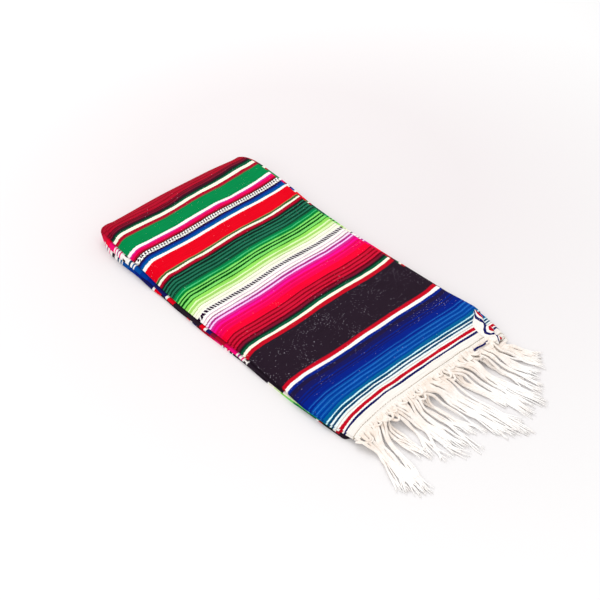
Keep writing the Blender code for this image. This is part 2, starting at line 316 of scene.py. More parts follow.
def cloth_point(stretch, share, column, of_columns, first):
    """(point, length along the cloth) of the first or the second layer. Columns run from the
    selvage to the fold."""

    def across(layer, y, inset=0.0):
        left = edge_of(layer, y) + inset
        inset = {"A1": table_at(RIDGE_INSET, y), "A2": LIP_INSET}.get(layer, FOLD_INSET)
        right = bundle(RIGHT, y) - inset
        near = len(SELVAGE_STEPS)
        if column < near:
            return left + SELVAGE_STEPS[column] * MM
        start = left + SELVAGE_STEPS[-1] * MM
        return lerp(start, right, (column - near + 1) / (of_columns - near))

    phase = 0 if first else 2
    wander = (0.5 * math.sin(share * 23 + phase) + 0.4 * math.sin(share * 51 + phase)) * MM
    top_layer, low_layer, inner_layer = ("A1", "B1", "C1") if first else ("A2", "B2", "C2")
    if stretch == "top":
        start = lerp(HEM_Y, TURN_Y, share)
        x = across(top_layer, start, wander * (1 - share))
        fade = 1 - ease((start - HEM_Y) / HEM_BLEND)
        y = lerp(hem_y(x), TURN_Y, share)
        if not first:
            y -= second_hem(x) * fade
        along = y - stray(x, y) - (HEM_Y - 1 * MM)
        if not first:
            along += second_hem(x)
        z = height_of(top_layer, x - wander * (1 - share), y)
        return (x, y, z + (hem_band(x, y) if first else 0)), along
    if stretch == "turn":
        angle = math.pi * (0.5 - share)
        reach = TURN_REACH - WALL / 2 - (0 if first else PITCH)
        y = TURN_Y + reach * math.cos(angle)
        above, below = across(top_layer, TURN_Y), across(low_layer, TURN_Y)
        pull = (bundle(LEFT_1, y) - bundle(LEFT_1, TURN_Y)) * max(0.0, 1 - column / of_columns * 2)
        x = lerp(above, below, share) + pull
        y += far_bow(x) * math.cos(angle)
        if column == of_columns - 1:
            x += bundle(RIGHT, y) - bundle(RIGHT, TURN_Y)
        high = height_of(top_layer, above, TURN_Y)
        low = height_of(low_layer, below, TURN_Y)
        z = (high + low) / 2 + (high - low) / 2 * math.sin(angle)
        arc = TURN_ARC if first else TURN_ARC_2
        along = FLAT_LENGTH - stray(x, TURN_Y) * (1 - share) + arc * share
        if not first:
            along += second_hem(x) * (1 - share)
        return (x, y, z), along
    after_turn = FLAT_LENGTH + (TURN_ARC if first else TURN_ARC_2)
    if stretch == "under":
        y = lerp(TURN_Y, NOSE_Y, share)
        shift = wander * ease(share * 6) * ease((1 - share) * 6)
        x = across(low_layer, y, shift)
        return (x, y, height_of(low_layer, x - shift, y)), after_turn + TURN_Y - y
    after_under = after_turn + UNDER_LENGTH
    if stretch == "nose":
        angle = math.pi * (share - 0.5)
        reach = NOSE_REACH - (0 if first else PITCH)
        y = NOSE_Y - reach * math.cos(angle)
        below, above = across(low_layer, NOSE_Y), across(inner_layer, NOSE_Y)
        x = lerp(below, above, ease(share))
        low = height_of(low_layer, below, NOSE_Y)
        high = height_of(inner_layer, above, NOSE_Y)
        z = (high + low) / 2 + (high - low) / 2 * math.sin(angle)
        return (x, y, z), after_under + NOSE_ARC * share
    y = lerp(NOSE_Y, INNER_END, share)
    x = across(inner_layer, y)
    return (x, y, height_of(inner_layer, x, y)), after_under + NOSE_ARC + y - NOSE_Y


FIRST_COLUMNS = 70
SECOND_COLUMNS = 44
FOLD_CLOTH = 6 * MM             # cloth taken up by the lengthwise fold
LIPPED_INSET = 7 * MM           # where the top layer's loop starts, on the top face


def cloth_grid():
    """Points of the cloth's middle surface and their (across, along) places in metres."""
    points, places = [], []
    half_cut = CUT_WIDTH / 2
    width = half_cut - FOLD_CLOTH / 2
    for stretch, share in rows_of_cloth():
        row, place = [], []
        sides = []
        for columns, first in ((FIRST_COLUMNS, True), (SECOND_COLUMNS, False)):
            sides.append([cloth_point(stretch, share, k, columns, first) for k in range(columns)])
        top_side, low_side = sides
        for side, sign, start in ((top_side, 1, 0.0), (low_side, -1, CUT_WIDTH)):
            left, right = side[0][0][0], side[-1][0][0]
            spots = [start + sign * width * (point[0] - left) / (right - left) for point, _ in side]
            row.append([point for point, _ in side])
            place.append([(spot, along) for spot, (_, along) in zip(spots, side)])
        (first, first_along), (second, second_along) = top_side[-1], low_side[-1]
        plain = {"top": 0.0, "turn": ease(share)}.get(stretch, 1.0)
        inset = lerp(LIPPED_INSET, FOLD_INSET, plain)
        loop, loop_places = [], []
        steps = len(FOLD_ROUND)
        for i, (lipped, smooth) in enumerate(zip(FOLD_WITH_LIP, FOLD_ROUND)):
            down, out = (lerp(a, b, plain) for a, b in zip(lipped, smooth))
            loop.append([
                lerp(first[0] + inset, second[0] + lerp(LIP_INSET, FOLD_INSET, plain),
                     ease((i - 2) / 3)) + out * MM,
                lerp(first[1], second[1], down),
                lerp(first[2], second[2], down),
            ])
            turned = ease((i - 2) / 2)
            loop_places.append((width + FOLD_CLOTH * (i + 1) / (steps + 1),
                                lerp(first_along, second_along, turned)))
        points.append(row[0] + loop + row[1][::-1])
        places.append(place[0] + loop_places + place[1][::-1])
    return np.array(points, dtype=float), np.array(places)


def wall_of(name, points, places, thickness):
    """A closed cloth wall on a grid of middle points, with the places as its UV map."""
    rows, columns, _ = points.shape
    along = np.gradient(points, axis=0)
    across = np.gradient(points, axis=1)
    normal = np.cross(across, along)
    normal /= np.maximum(np.linalg.norm(normal, axis=2, keepdims=True), 1e-9)
    outer = points + normal * thickness / 2
    inner = points - normal * thickness / 2
    vertices = np.concatenate([outer.reshape(-1, 3), inner.reshape(-1, 3)])
    count = rows * columns

    def index(i, j, side):
        return side * count + i * columns + j

    faces = []
    for i in range(rows - 1):
        for j in range(columns - 1):
            faces.append((index(i, j, 0), index(i, j + 1, 0), index(i + 1, j + 1, 0), index(i + 1, j, 0)))
            faces.append((index(i, j, 1), index(i + 1, j, 1), index(i + 1, j + 1, 1), index(i, j + 1, 1)))
        last = columns - 1
        faces.append((index(i, 0, 0), index(i + 1, 0, 0), index(i + 1, 0, 1), index(i, 0, 1)))
        faces.append((index(i, last, 0), index(i, last, 1), index(i + 1, last, 1), index(i + 1, last, 0)))
    for j in range(columns - 1):
        last = rows - 1
        faces.append((index(0, j, 0), index(0, j, 1), index(0, j + 1, 1), index(0, j + 1, 0)))
        faces.append((index(last, j, 0), index(last, j + 1, 0), index(last, j + 1, 1), index(last, j, 1)))
    mesh = bpy.data.meshes.new(name)
    mesh.from_pydata(vertices.tolist(), [], faces)
    layer = mesh.uv_layers.new(name="cloth")
    flat = places.reshape(-1, 2)
    flat = np.concatenate([flat, flat])
    loops = np.zeros(len(mesh.loops), dtype=np.int32)
    mesh.loops.foreach_get("vertex_index", loops)
    uv = flat[loops] / np.array([CUT_WIDTH, CUT_LENGTH])
    layer.data.foreach_set("uv", uv.astype(np.float32).ravel())
    mesh.shade_smooth()
    mesh.set_sharp_from_angle(angle=math.radians(55))
    obj = bpy.data.objects.new(name, mesh)
    bpy.context.scene.collection.objects.link(obj)
    return obj


# Colours of the yarns, as seen in a print, and the painted shade of the hem's seam

INKS = {
    "hem": (247, 242, 235), "seam_shade": (176, 164, 148), "white": (247, 244, 240), "cream": (249, 246, 226),
    "ash": (196, 190, 184), "black": (38, 26, 38), "dusk": (56, 14, 32), "maroon": (84, 8, 32),
    "garnet": (98, 0, 20), "wine": (122, 18, 44), "ruby": (132, 0, 20), "crimson": (172, 8, 40),
    "cerise": (204, 16, 52), "brick": (192, 10, 34), "blaze": (242, 0, 50),
    "cherry": (242, 0, 78), "peony": (228, 4, 118), "scarlet": (228, 0, 28),
    "rose": (228, 0, 84), "fuchsia": (244, 8, 108), "hot": (242, 10, 148), "orchid": (212, 42, 148),
    "magenta": (170, 36, 130), "lilac": (246, 196, 248), "petal": (248, 222, 248),
    "mulberry": (160, 70, 120), "blush": (206, 156, 184), "pink": (246, 4, 122), "rust": (112, 74, 52),
    "pine": (8, 34, 28), "deep": (0, 52, 34), "bottle": (14, 88, 56), "jade": (34, 112, 84),
    "green": (0, 134, 72), "emerald": (0, 128, 50), "moss": (2, 78, 12), "fern": (40, 114, 24),
    "glass": (66, 190, 118), "spring": (124, 218, 104), "lime": (146, 222, 92), "leaf": (162, 212, 104),
    "mint": (222, 246, 184), "reed": (160, 188, 104), "celadon": (212, 220, 192),
    "olive": (62, 98, 42), "tan": (146, 130, 88), "night": (34, 4, 36),
    "navy": (22, 24, 92), "ink": (32, 24, 62), "royal": (4, 32, 132), "blue": (0, 52, 146),
    "azure": (0, 76, 160), "teal": (0, 94, 148), "sky": (38, 108, 196), "petrol": (4, 66, 104),
    "aqua": (198, 240, 244), "foam": (230, 243, 243),
}

# The stripes from the top hem to the far fold: where each starts, in mm from the hem, and its yarn
STRIPES_TOP = (
    # The dark line at 9 mm is no yarn: it is painted shade in the groove along the hem's seam.
    (0, "hem"), (9.0, "seam_shade"), (10.3, "hem"), (22, "navy"), (25, "white"), (27.8, "brick"),
    (33, "white"), (35.6, "ash"), (36.8, "white"), (37.8, "foam"), (40, "petrol"), (42.6, "foam"),
    (44.9, "petrol"), (48.8, "aqua"), (50.8, "teal"), (56.2, "blue"), (57.6, "azure"),
)
STRIPES_BLUE = (
    (57.6, "azure"), (59.4, "sky"), (60.4, "azure"), (62.2, "blue"), (64, "azure"), (65.6, "sky"),
    (67, "azure"), (68.6, "blue"), (70.8, "azure"), (72, "sky"), (73.2, "azure"), (75.2, "royal"),
    (77.4, "blue"), (78.8, "sky"), (79.8, "blue"), (81.4, "royal"), (90, "navy"), (91.6, "royal"),
    (93.4, "navy"), (96.4, "royal"), (98.4, "navy"), (106, "ink"), (112.8, "royal"), (117.4, "white"),
    (123, "brick"), (129.6, "black"),
)
STRIPES_RED = (
    (129.6, "black"), (205.6, "brick"), (213, "cream"), (218, "bottle"), (222.6, "pine"),
    (225.2, "dusk"), (227.4, "wine"), (231, "garnet"), (233.8, "cerise"), (238, "ruby"),
    (240.6, "cerise"), (244.6, "ruby"), (247.6, "cerise"), (251.8, "ruby"), (254.4, "blaze"),
    (265.8, "cherry"), (269.4, "rose"), (271.4, "cherry"), (273.4, "fuchsia"), (276, "rose"),
    (279.6, "fuchsia"), (281, "hot"), (283.8, "peony"), (287, "orchid"), (291.2, "lilac"),
)
STRIPES_LILAC = (
    (291.2, "lilac"), (294, "magenta"), (297.8, "petal"), (301.6, "mulberry"), (303.4, "white"),
    (308, "blush"), (309.2, "white"), (322, "cream"), (326.6, "celadon"), (328, "cream"),
    (332.6, "reed"), (334, "mint"), (338, "leaf"), (342.6, "mint"), (345, "lime"), (350.8, "fern"),
    (353.2, "spring"), (357.8, "moss"), (361, "spring"), (364.2, "moss"), (367.2, "spring"),
    (370.6, "emerald"),
)
STRIPES_PINE = (
    (370.6, "emerald"), (375, "glass"), (377, "green"), (381, "bottle"), (384, "deep"),
    (385.6, "jade"), (389.6, "deep"), (392.6, "jade"), (396, "deep"), (399.2, "jade"),
    (402.8, "pine"), (406.4, "jade"), (408.6, "pine"), (411, "garnet"), (412.8, "crimson"),
    (417.6, "cream"), (422, "olive"), (424.8, "tan"), (426.2, "scarlet"), (452, "white"),
    (457, "teal"), (459.6, "azure"), (461.4, "blue"), (464.4, "navy"), (466.8, "night"),
    (469, "white"),
)
STRIPES_FAR = (
    (469, "white"), (476.6, "maroon"), (479.4, "crimson"), (482, "rose"), (487.4, "orchid"),
    (490, "white"), (495, "green"), (520.8, "rust"), (522.4, "crimson"), (528, "cream"),
    (534, "bottle"), (537.6, "pine"), (540, "dusk"), (543, "wine"), (544.8, "garnet"),
    (546, "wine"), (547.2, "garnet"), (548.6, "crimson"), (552, "ruby"), (553.6, "crimson"),
    (557.6, "ruby"), (559.4, "crimson"), (564, "ruby"), (565.6, "crimson"),
    (568, "crimson"),
)
STRIPES_UNDER = (
    (568, "crimson"), (571, "ruby"), (572.4, "crimson"), (577, "cerise"), (584, "blaze"), (590, "fuchsia"),
    (603, "white"), (605.5, "pink"), (608, "white"),
    (612, "magenta"), (614, "white"), (618, "pink"), (620, "white"), (643, "petrol"), (647, "white"),
    (650, "teal"), (654, "white"), (656, "azure"), (672, "blue"), (688, "royal"), (704, "navy"),
    (734, "white"), (739, "scarlet"), (755, "black"), (818, "scarlet"), (827, "white"), (832, "navy"),
    (843, "wine"), (852, "crimson"), (872, "rose"), (884, "pink"),
)
STRIPES_NEAR = (
    (884, "pink"), (898, "white"), (902, "magenta"), (904, "white"), (910, "pink"), (912, "white"),
    (922, "black"), (996, "white"), (999, "cream"), (1010, "mint"), (1022, "lime"),
    (1034, "spring"), (1048, "green"), (1066, "bottle"), (1078, "deep"), (1088, "white"),
    (1093, "brick"), (1099, "black"), (1160, "white"), (1166, "royal"), (1184, "blue"),
    (1202, "teal"), (1222, "white"), (1228, "scarlet"), (1260, "cream"), (1266, "green"),
    (1298, "white"), (1304, "crimson"),
)
STRIPES_INNER = (
    (1304, "crimson"), (1316, "rose"), (1330, "pink"), (1350, "white"), (1356, "black"),
    (1420, "scarlet"), (1428, "white"), (1434, "bottle"), (1456, "green"), (1478, "lime"),
    (1500, "cream"), (1516, "white"), (1524, "navy"), (1552, "azure"), (1580, "white"),
    (1590, "petrol"), (1594, "white"), (1618, "scarlet"), (1622, "white"), (1626, "navy"),
    (1629, "hem"), (1660, "hem"),
)


def linear(rgb):
    """The shader's colour for a colour as seen on a screen."""
    out = []
    for value in rgb:
        c = value / 255
        out.append(c / 12.92 if c <= 0.04045 else ((c + 0.055) / 1.055) ** 2.4)
    return (*out, 1)


class Nodes:
    """Short calls for building one material's nodes."""

    def __init__(self, name):
        self.material = bpy.data.materials.new(name)
        self.material.use_nodes = True
        self.tree = self.material.node_tree
        self.shader = self.tree.nodes["Principled BSDF"]

    def put(self, socket, value):
        if isinstance(value, bpy.types.NodeSocket):
            self.tree.links.new(value, socket)
        else:
            socket.default_value = value

    def math(self, operation, *values):
        node = self.tree.nodes.new("ShaderNodeMath")
        node.operation = operation
        for socket, value in zip(node.inputs, values):
            self.put(socket, value)
        return node.outputs[0]

    def mix(self, share, a, b, blend="MIX"):
        node = self.tree.nodes.new("ShaderNodeMix")
        node.data_type = "RGBA"
        node.blend_type = blend
        self.put(node.inputs[0], share)
        self.put(node.inputs[6], a)
        self.put(node.inputs[7], b)
        return node.outputs[2]

    def noise(self, vector, scale, detail=2.0, roughness=0.5):
        node = self.tree.nodes.new("ShaderNodeTexNoise")
        self.put(node.inputs["Vector"], vector)
        node.inputs["Scale"].default_value = scale
        node.inputs["Detail"].default_value = detail
        node.inputs["Roughness"].default_value = roughness
        return node.outputs["Fac"]

    def combine(self, x, y, z=0.0):
        node = self.tree.nodes.new("ShaderNodeCombineXYZ")
        for socket, value in zip(node.inputs, (x, y, z)):
            self.put(socket, value)
        return node.outputs[0]

    def between(self, value, low, high):
        """1 where value lies between low and high."""
        return self.math("MULTIPLY", self.math("GREATER_THAN", value, low),
                         self.math("LESS_THAN", value, high))

    def ramp(self, share, stops, interpolation="CONSTANT"):
        node = self.tree.nodes.new("ShaderNodeValToRGB")
        node.color_ramp.interpolation = interpolation
        elements = node.color_ramp.elements
        elements[0].position, elements[0].color = stops[0]
        elements[1].position, elements[1].color = stops[-1]
        for position, colour in stops[1:-1]:
            elements.new(position).color = colour
        self.put(node.inputs[0], share)
        return node.outputs[0]

    def remap(self, value, from_low, from_high, to_low, to_high):
        node = self.tree.nodes.new("ShaderNodeMapRange")
        self.put(node.inputs[0], value)
        for k, limit in enumerate((from_low, from_high, to_low, to_high)):
            node.inputs[k + 1].default_value = limit
        return node.outputs[0]


WARP = 325 / 117                # spacing of the warp ends, in mm
PICK = 1.05                     # spacing of the picks, in mm


def cloth_material():
    """Stripes, rows of dots, yarn, lint and relief, all by the place in the cloth's cut."""
    n = Nodes("striped_cloth")
    coordinates = n.tree.nodes.new("ShaderNodeUVMap")
    coordinates.uv_map = "cloth"
    split = n.tree.nodes.new("ShaderNodeSeparateXYZ")
    n.put(split.inputs[0], coordinates.outputs[0])
    across = n.math("MULTIPLY", split.outputs[0], CUT_WIDTH / MM)
    along = n.math("MULTIPLY", split.outputs[1], CUT_LENGTH / MM)
    place = n.combine(across, along)

    # A weft lies a little above or below its line, so stripe edges are uneven.
    wobble = n.math("SUBTRACT", n.noise(n.combine(n.math("MULTIPLY", across, 0.12), along), 0.25), 0.5)
    teeth = n.math("SUBTRACT", n.math("PINGPONG", across, WARP), WARP / 2)
    edge = n.math("ADD", along, n.math("MULTIPLY", wobble, 2.6))
    edge = n.math("ADD", edge, n.math("MULTIPLY", teeth, 0.16))

    colour = None
    tables = (STRIPES_TOP, STRIPES_BLUE, STRIPES_RED, STRIPES_LILAC, STRIPES_PINE, STRIPES_FAR,
              STRIPES_UNDER, STRIPES_NEAR, STRIPES_INNER)
    for table in tables:
        low, high = table[0][0], table[-1][0]
        stops = [((start - low) / (high - low), linear(INKS[ink])) for start, ink in table]
        made = n.ramp(n.remap(edge, low, high, 0, 1), stops)
        if colour is None:
            colour = made
        else:
            colour = n.mix(n.math("GREATER_THAN", edge, low), colour, made)

    # Rows where two shuttles alternate and so leave dots or slanted dashes
    pair = n.math("DIVIDE", across, 2 * WARP)
    for low, high, ink, ground, slant, duty in (
        (469.2, 472, "black", "white", 0.35, 0.26),
        (472, 475, "black", "white", 0.0, 0.56),
        (475, 477.2, "black", "white", -0.35, 0.32),
        (314.8, 321.4, "night", "white", 0.5, 0.68),
        (628.0, 635.0, "black", "white", 0.0, 0.5),
        (916.0, 921.0, "black", "white", 0.0, 0.5),
    ):
        lean = n.math("MULTIPLY", n.math("SUBTRACT", along, low), slant / (high - low))
        loose = n.math("MULTIPLY", n.noise(n.combine(n.math("MULTIPLY", across, 0.5), along), 0.5), 0.3)
        cycle = n.math("FRACT", n.math("ADD", n.math("ADD", pair, lean), loose))
        dots = n.mix(n.math("LESS_THAN", cycle, duty), linear(INKS[ground]), linear(INKS[ink]))
        colour = n.mix(n.between(edge, low, high), colour, dots)

    # Yarn: each pick has its own shade, streaks run along it
    streak_place = n.combine(n.math("MULTIPLY", across, 0.02), n.math("DIVIDE", along, PICK))
    streak = n.remap(n.noise(streak_place, 1.0, 3.0, 0.6), 0.3, 0.7, 0.86, 1.1)
    fleck = n.remap(n.noise(n.combine(n.math("MULTIPLY", across, 0.6), along), 1.4, 3.0, 0.7), 0.3, 0.7,
                    0.93, 1.07)
    cloud = n.remap(n.noise(place, 0.02, 2.0), 0.3, 0.7, 0.96, 1.04)
    shade = n.math("MULTIPLY", n.math("MULTIPLY", streak, fleck), cloud)
    colour = n.mix(1.0, colour, n.combine(shade, shade, shade), "MULTIPLY")

    # Lint and slubs of other yarns
    specks = n.noise(n.combine(n.math("MULTIPLY", across, 0.7), along), 0.62, 1.0, 0.6)
    crowd = n.remap(n.noise(place, 0.024, 2.0), 0.42, 0.68, 0.0, 0.075)
    dark_band = n.math("ADD", n.math("MULTIPLY", n.between(along, 84, 116), 0.6), n.between(along, 130, 205))
    limit = n.math("SUBTRACT", 0.8, n.math("MULTIPLY", dark_band, 0.051))
    lint = n.math("GREATER_THAN", n.math("ADD", specks, crowd), limit)
    colour = n.mix(n.math("MULTIPLY", lint, 0.8), colour, linear((214, 206, 220)))

    # Relief: ribs over the warp ends, in step from pick to pick, and the yarn's own hair
    pick = n.math("DIVIDE", along, PICK)
    parity = n.math("MULTIPLY", n.math("FLOOR", pick), 0.5)
    rib = n.math("ABSOLUTE", n.math("SINE", n.math("MULTIPLY", n.math("ADD", n.math("DIVIDE", across, WARP),
                                                                      parity), math.pi)))
    ridge = n.math("ABSOLUTE", n.math("SINE", n.math("MULTIPLY", pick, math.pi)))
    weave = n.math("ADD", n.math("MULTIPLY", rib, 0.6), n.math("MULTIPLY", ridge, 0.6))
    hair = n.noise(place, 2.6, 4.0, 0.7)
    height = n.math("ADD", weave, n.math("MULTIPLY", hair, 0.7))
    furrow = n.noise(n.combine(n.math("MULTIPLY", across, 0.012), n.math("MULTIPLY", along, 0.24)), 1.0, 2.0)
    height = n.math("ADD", height, n.math("MULTIPLY", furrow, 1.2))
    bump = n.tree.nodes.new("ShaderNodeBump")
    bump.inputs["Strength"].default_value = 0.75
    bump.inputs["Distance"].default_value = 0.35 * MM
    n.put(bump.inputs["Height"], height)
    # Painted shade: the colour darkens in the hollows between the ribs and between the picks.
    shadow = n.remap(weave, 0.1, 1.1, 0.84, 1.03)
    colour = n.mix(1.0, colour, n.combine(shadow, shadow, shadow), "MULTIPLY")
    n.put(n.shader.inputs["Base Color"], colour)
    n.put(n.shader.inputs["Normal"], bump.outputs[0])
    n.shader.inputs["Roughness"].default_value = 0.92
    n.shader.inputs["Specular IOR Level"].default_value = 0.02
    n.shader.inputs["Sheen Weight"].default_value = 0.02
    n.shader.inputs["Sheen Roughness"].default_value = 0.5
    return n.material


def yarn_material():
    """Twisted natural cotton, darker and warmer near the hem as painted shade where the knots and loops
    crowd, and paler towards its combed ends.
    """
    n = Nodes("cotton_yarn")
    coordinates = n.tree.nodes.new("ShaderNodeUVMap")
    coordinates.uv_map = "yarn"
    split = n.tree.nodes.new("ShaderNodeSeparateXYZ")
    n.put(split.inputs[0], coordinates.outputs[0])
    around, along = split.outputs[0], split.outputs[1]
    texture = n.tree.nodes.new("ShaderNodeTexCoord")
    twist = n.math("SINE", n.math("MULTIPLY", n.math("ADD", n.math("MULTIPLY", around, 2.0),
                                                     n.math("MULTIPLY", along, 160.0)), 2 * math.pi))
    fibre = n.noise(n.combine(n.math("MULTIPLY", around, 6.0), n.math("MULTIPLY", along, 900.0)), 1.0, 3.0)
    tone = n.noise(texture.outputs["Object"], 90.0, 2.0)
    # Painted shade: near the hem the yarn takes a darker, warmer colour where the knots and loops shade it.
    near = n.mix(n.remap(tone, 0.3, 0.7, 0, 1), linear((250, 243, 236)), linear((241, 227, 214)))
    far = n.mix(n.remap(tone, 0.3, 0.7, 0, 1), linear((255, 254, 252)), linear((253, 248, 244)))
    colour = n.mix(n.remap(along, 0.02, 0.085, 0, 1), near, far)
    # Painted shade in the grooves of the twist, with fibre tone that differs at random.
    twist_shade_and_fibre_tone = n.remap(twist, -1, 1, 0.975, 1.0)
    twist_shade_and_fibre_tone = n.math("MULTIPLY", twist_shade_and_fibre_tone, n.remap(fibre, 0.3, 0.7, 0.97, 1.0))
    colour = n.mix(1.0, colour, n.combine(twist_shade_and_fibre_tone, twist_shade_and_fibre_tone, twist_shade_and_fibre_tone), "MULTIPLY")
    bump = n.tree.nodes.new("ShaderNodeBump")
    bump.inputs["Strength"].default_value = 0.35
    bump.inputs["Distance"].default_value = 0.2 * MM
    n.put(bump.inputs["Height"], n.math("ADD", twist, fibre))
    n.put(n.shader.inputs["Base Color"], colour)
    n.put(n.shader.inputs["Normal"], bump.outputs[0])
    n.shader.inputs["Roughness"].default_value = 0.9
    n.shader.inputs["Specular IOR Level"].default_value = 0.15
    n.shader.inputs["Sheen Weight"].default_value = 0.36
    n.shader.inputs["Sheen Roughness"].default_value = 0.6
    return n.material


def tubes(name, paths, sides=5):
    """One mesh of closed tubes. A path is a list of (point, radius)."""
    vertices, faces, uvs = [], [], []
    for path in paths:
        points = np.array([point for point, _ in path], dtype=float)
        radii = [radius for _, radius in path]
        tangent = np.gradient(points, axis=0)
        tangent /= np.maximum(np.linalg.norm(tangent, axis=1, keepdims=True), 1e-9)
        length = np.concatenate([[0], np.cumsum(np.linalg.norm(np.diff(points, axis=0), axis=1))])
        up = np.array([0.0, 0.0, 1.0])
        start = len(vertices)
        side = np.cross(tangent[0], up)
        if np.linalg.norm(side) < 1e-3:
            side = np.array([1.0, 0.0, 0.0])
        for i, point in enumerate(points):
            side = side - tangent[i] * side.dot(tangent[i])
            side /= max(np.linalg.norm(side), 1e-9)
            other = np.cross(tangent[i], side)
            for k in range(sides):
                angle = 2 * math.pi * k / sides
                vertices.append(point + radii[i] * (math.cos(angle) * side + math.sin(angle) * other))
        last = len(points) - 1
        for i in range(last):
            for k in range(sides):
                m = (k + 1) % sides
                a, b = start + i * sides, start + (i + 1) * sides
                faces.append((a + k, a + m, b + m, b + k))
                low, high = length[i], length[i + 1]
                uvs += [(k / sides, low), ((k + 1) / sides, low), ((k + 1) / sides, high), (k / sides, high)]
        faces.append(tuple(start + k for k in reversed(range(sides))))
        faces.append(tuple(start + last * sides + k for k in range(sides)))
        uvs += [(k / sides, 0) for k in range(sides)] + [(k / sides, length[-1]) for k in range(sides)]
    mesh = bpy.data.meshes.new(name)
    mesh.from_pydata([tuple(v) for v in vertices], [], faces)
    layer = mesh.uv_layers.new(name="yarn")
    layer.data.foreach_set("uv", np.array(uvs, dtype=np.float32).ravel())
    mesh.shade_smooth()
    obj = bpy.data.objects.new(name, mesh)
    bpy.context.scene.collection.objects.link(obj)
    return obj


# Fringe: the warp ends leave the hem in locks of a few yarns, knotted over its edge

TOP_TUFTS = (
    # root_0, root_1, gather, width, ahead, tip_0, tip_1, reach_0, reach_1, locks
    (-149, -90, -128, 30, 34, -162, -126, 106, 126, 12),
    (-88, -28, -60, 36, 32, -86, -30, 104, 128, 12),
    (-26, 30, 10, 36, 32, 4, 52, 130, 158, 12),
    (32, 92, 72, 36, 32, 66, 116, 142, 130, 12),
    (94, 139, 120, 30, 30, 118, 160, 118, 88, 11),
)
SECOND_TUFTS = (
    (-102, -84, -96, 9, 20, -99, -89, 84, 92, 4),
    (-40, -10, -24, 14, 20, -24, -8, 92, 100, 4),
    (38, 56, 46, 9, 20, 56, 65, 92, 84, 4),
    (98, 106, 102, 5, 20, 109, 116, 84, 78, 3),
    (132, 154, 158, 18, 20, 160, 180, 74, 52, 8),
)
SLACK_LOOPS = (
    # x, span, reach
    (-151, 20, 17), (-100, 25, 15), (-92, 22, 22), (-40, 24, 21), (-34, 20, 13), (20, 25, 18),
    (27, 20, 24), (82, 27, 21), (90, 20, 14), (114, 24, 18),
)
YARN = 1.2 * MM                 # half thickness of a yarn
YARNS = 4                       # yarns in a lock
LOCK = 1.5 * MM                 # half width of a lock
KNOT_BACK = 4.5 * MM            # how far behind the hem's edge a lock is knotted


def lock_middle(tuft, share, root, ledge_y, drop, rng):
    """Middle line of a lock, as (point, share of its length): from its knot on the hem over the
    edge, down to the floor, gathered with its tuft and out to its tip."""
    root_0, root_1, gather_x, width, ahead, tip_0, tip_1, reach_0, reach_1, _ = tuft
    gather = (gather_x + width * (share - 0.5) + rng.gauss(0, 1.5)) * MM
    tip_share = share + rng.gauss(0, 0.13)
    tip_x = lerp(tip_0, tip_1, tip_share) * MM
    reach = lerp(reach_0, reach_1, share) * MM * (0.84 + 0.2 * rng.random())
    gather_y = root[1] - ahead * MM * (0.85 + 0.3 * rng.random())
    tip_y = root[1] - reach
    lift = rng.random() * 3.2 * MM
    wave = rng.gauss(0, 1.9) * MM
    phase = rng.random() * 6.28
    bow = rng.gauss(0, 4) * MM
    path = [
        ((root[0], root[1] + KNOT_BACK, root[2] + WALL * 0.5), 0.0),
        ((root[0] + 0.4 * MM, root[1] + KNOT_BACK * 0.5, root[2] + WALL * 0.5 + 1.1 * MM), 0.0),
        ((root[0] + 0.2 * MM, root[1] + 0.2 * MM, root[2] + WALL * 0.5 + 0.7 * MM), 0.0),
    ]
    steps = 26
    for i in range(1, steps + 1):
        t = i / steps
        y = lerp(root[1], tip_y, t ** 1.2)
        if y > gather_y:
            x = lerp(root[0], gather, ease((root[1] - y) / (root[1] - gather_y)))
        else:
            x = lerp(gather, tip_x, (gather_y - y) / (gather_y - tip_y))
        fall = ease((ledge_y - y) / drop)
        x += wave * math.sin(phase + 9 * t) * t + bow * math.sin(math.pi * t)
        floor = YARN + LOCK + lift * (1 - 0.8 * t)
        z = lerp(root[2] + 0.5 * MM, floor, fall) + 0.5 * MM * math.sin(phase + 13 * t)
        path.append(((x, y, z), t))
    return path


def yarns_of(middle, rng, count=YARNS, half=LOCK):
    """The yarns of a lock: they turn about its middle line and stray from it towards the tip."""
    start = rng.random() * 6.28
    turn = rng.choice((-1, 1)) * (4 + 3 * rng.random())
    paths = []
    for k in range(count):
        angle = start + 2 * math.pi * k / count
        stray_x, stray_y = rng.gauss(0, 3.6) * MM, rng.random() * 8 * MM
        kink = rng.random() * 6.28
        path = []
        for (x, y, z), t in middle:
            here = angle + turn * t
            loose = max(0.0, (t - 0.35) / 0.65) ** 1.6
            radius = half * (0.72 + 0.28 * math.cos(3 * here + start))
            x += radius * math.cos(here) + stray_x * loose + 0.7 * MM * math.sin(kink + 21 * t) * loose
            y += stray_y * loose
            z += radius * 0.8 * math.sin(here) - 0.6 * LOCK * loose
            thick = YARN * (1 if t < 0.85 else lerp(1, 0.4, (t - 0.85) / 0.15))
            path.append(((x, y, max(z, thick + 0.3 * MM)), thick))
        paths.append(path)
    return paths


def hem_edge(x, layer):
    """Middle of a hem's edge."""
    y = hem_y(x) if layer == 1 else hem_y(x) - second_hem(x)
    return (x, y, height_of("A1" if layer == 1 else "A2", x, y))


def edge_loop(x, layer, rng, span, reach):
    """Middle line of a slack loop between two knots: out from the hem, sagging, and back."""
    lean = rng.gauss(0, 3) * MM
    middle = []
    for i in range(15):
        t = i / 14
        angle = math.pi * t
        here = x + span * t
        edge = hem_edge(here, layer)
        out = reach * math.sin(angle)
        rise = WALL * 0.5 + 5.5 * MM * math.sin(angle) ** 2
        middle.append(((here + lean * math.sin(angle), edge[1] + 2 * MM - out,
                        edge[2] + rise - 0.26 * out), 0.0))
    return middle


